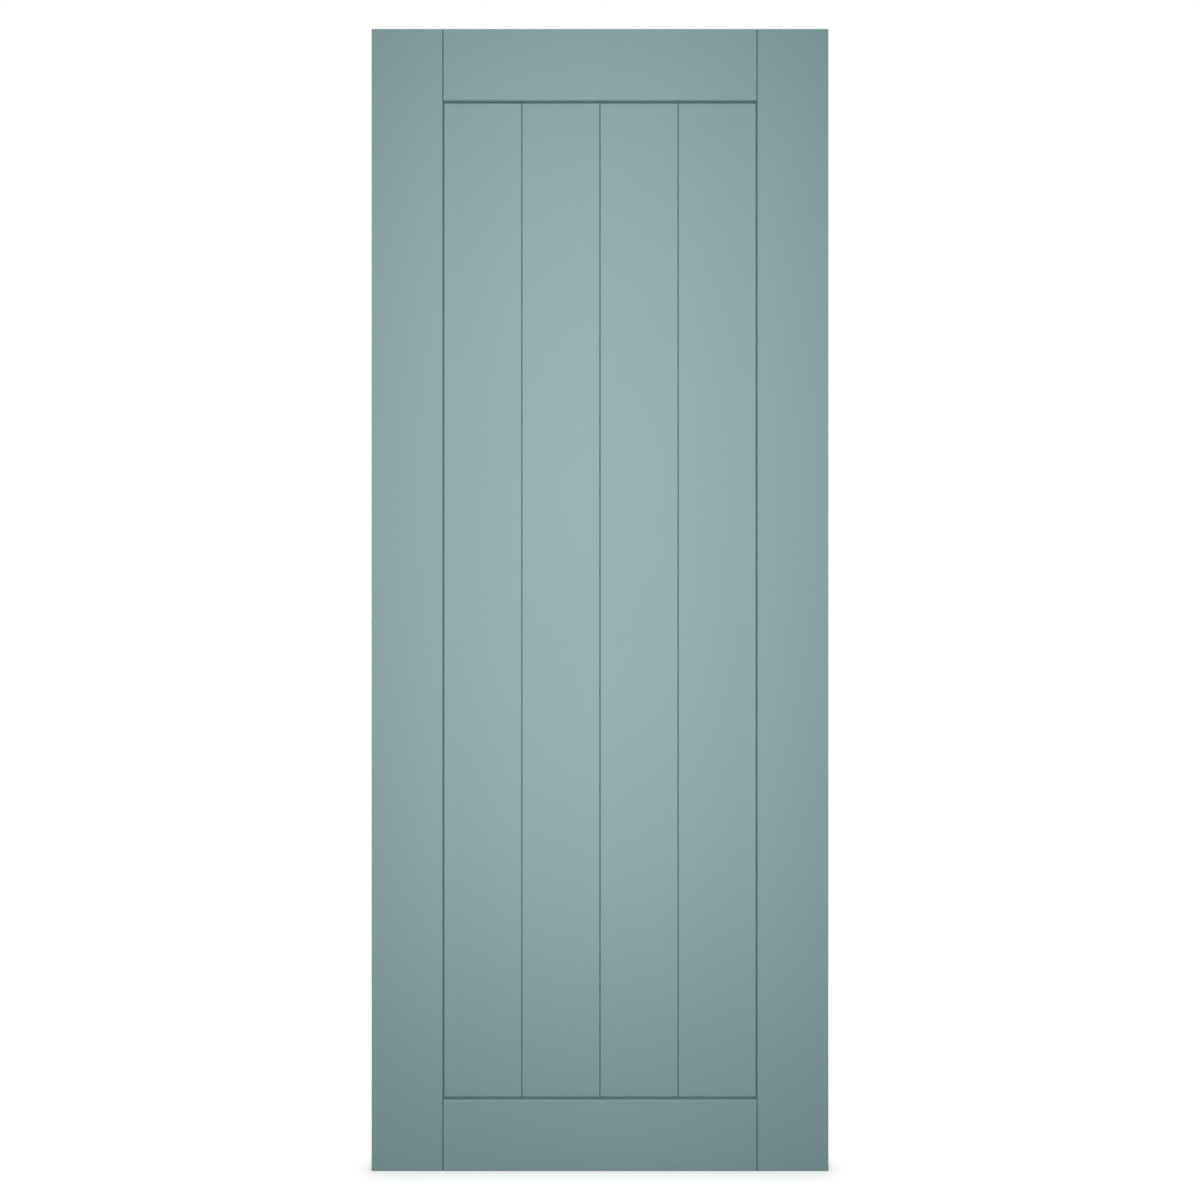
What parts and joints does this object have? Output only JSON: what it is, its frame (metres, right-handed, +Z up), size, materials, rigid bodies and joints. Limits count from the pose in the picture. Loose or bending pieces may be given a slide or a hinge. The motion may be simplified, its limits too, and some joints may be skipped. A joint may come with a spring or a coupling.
{
  "type": "panelled door leaf",
  "caption": "Painted timber front door leaf: stiles and rails round a recessed panel of upright boards with V joints, held by stub tenons and dowels.",
  "frame": {"origin": "middle of the leaf's bottom edge, halfway through its thickness", "axes": "+X to the right seen from the front, +Y from the front face to the back face, +Z up the leaf"},
  "size_m": [0.813, 0.044, 2.032],
  "materials": {
    "paint": "satin grey-green-blue paint on timber",
    "beech": "bare beech"
  },
  "bodies": {
    "root": {"stile_left": "paint", "stile_right": "paint", "top_rail": "paint", "bottom_rail": "paint", "board_1": "paint", "board_2": "paint", "board_3": "paint", "board_4": "paint", "dowel_bottom_left_1": "beech", "dowel_bottom_left_2": "beech", "dowel_bottom_left_3": "beech", "dowel_bottom_right_1": "beech", "dowel_bottom_right_2": "beech", "dowel_bottom_right_3": "beech", "dowel_top_left_1": "beech", "dowel_top_left_2": "beech", "dowel_top_left_3": "beech", "dowel_top_right_1": "beech", "dowel_top_right_2": "beech", "dowel_top_right_3": "beech"}
  },
  "joints": []
}
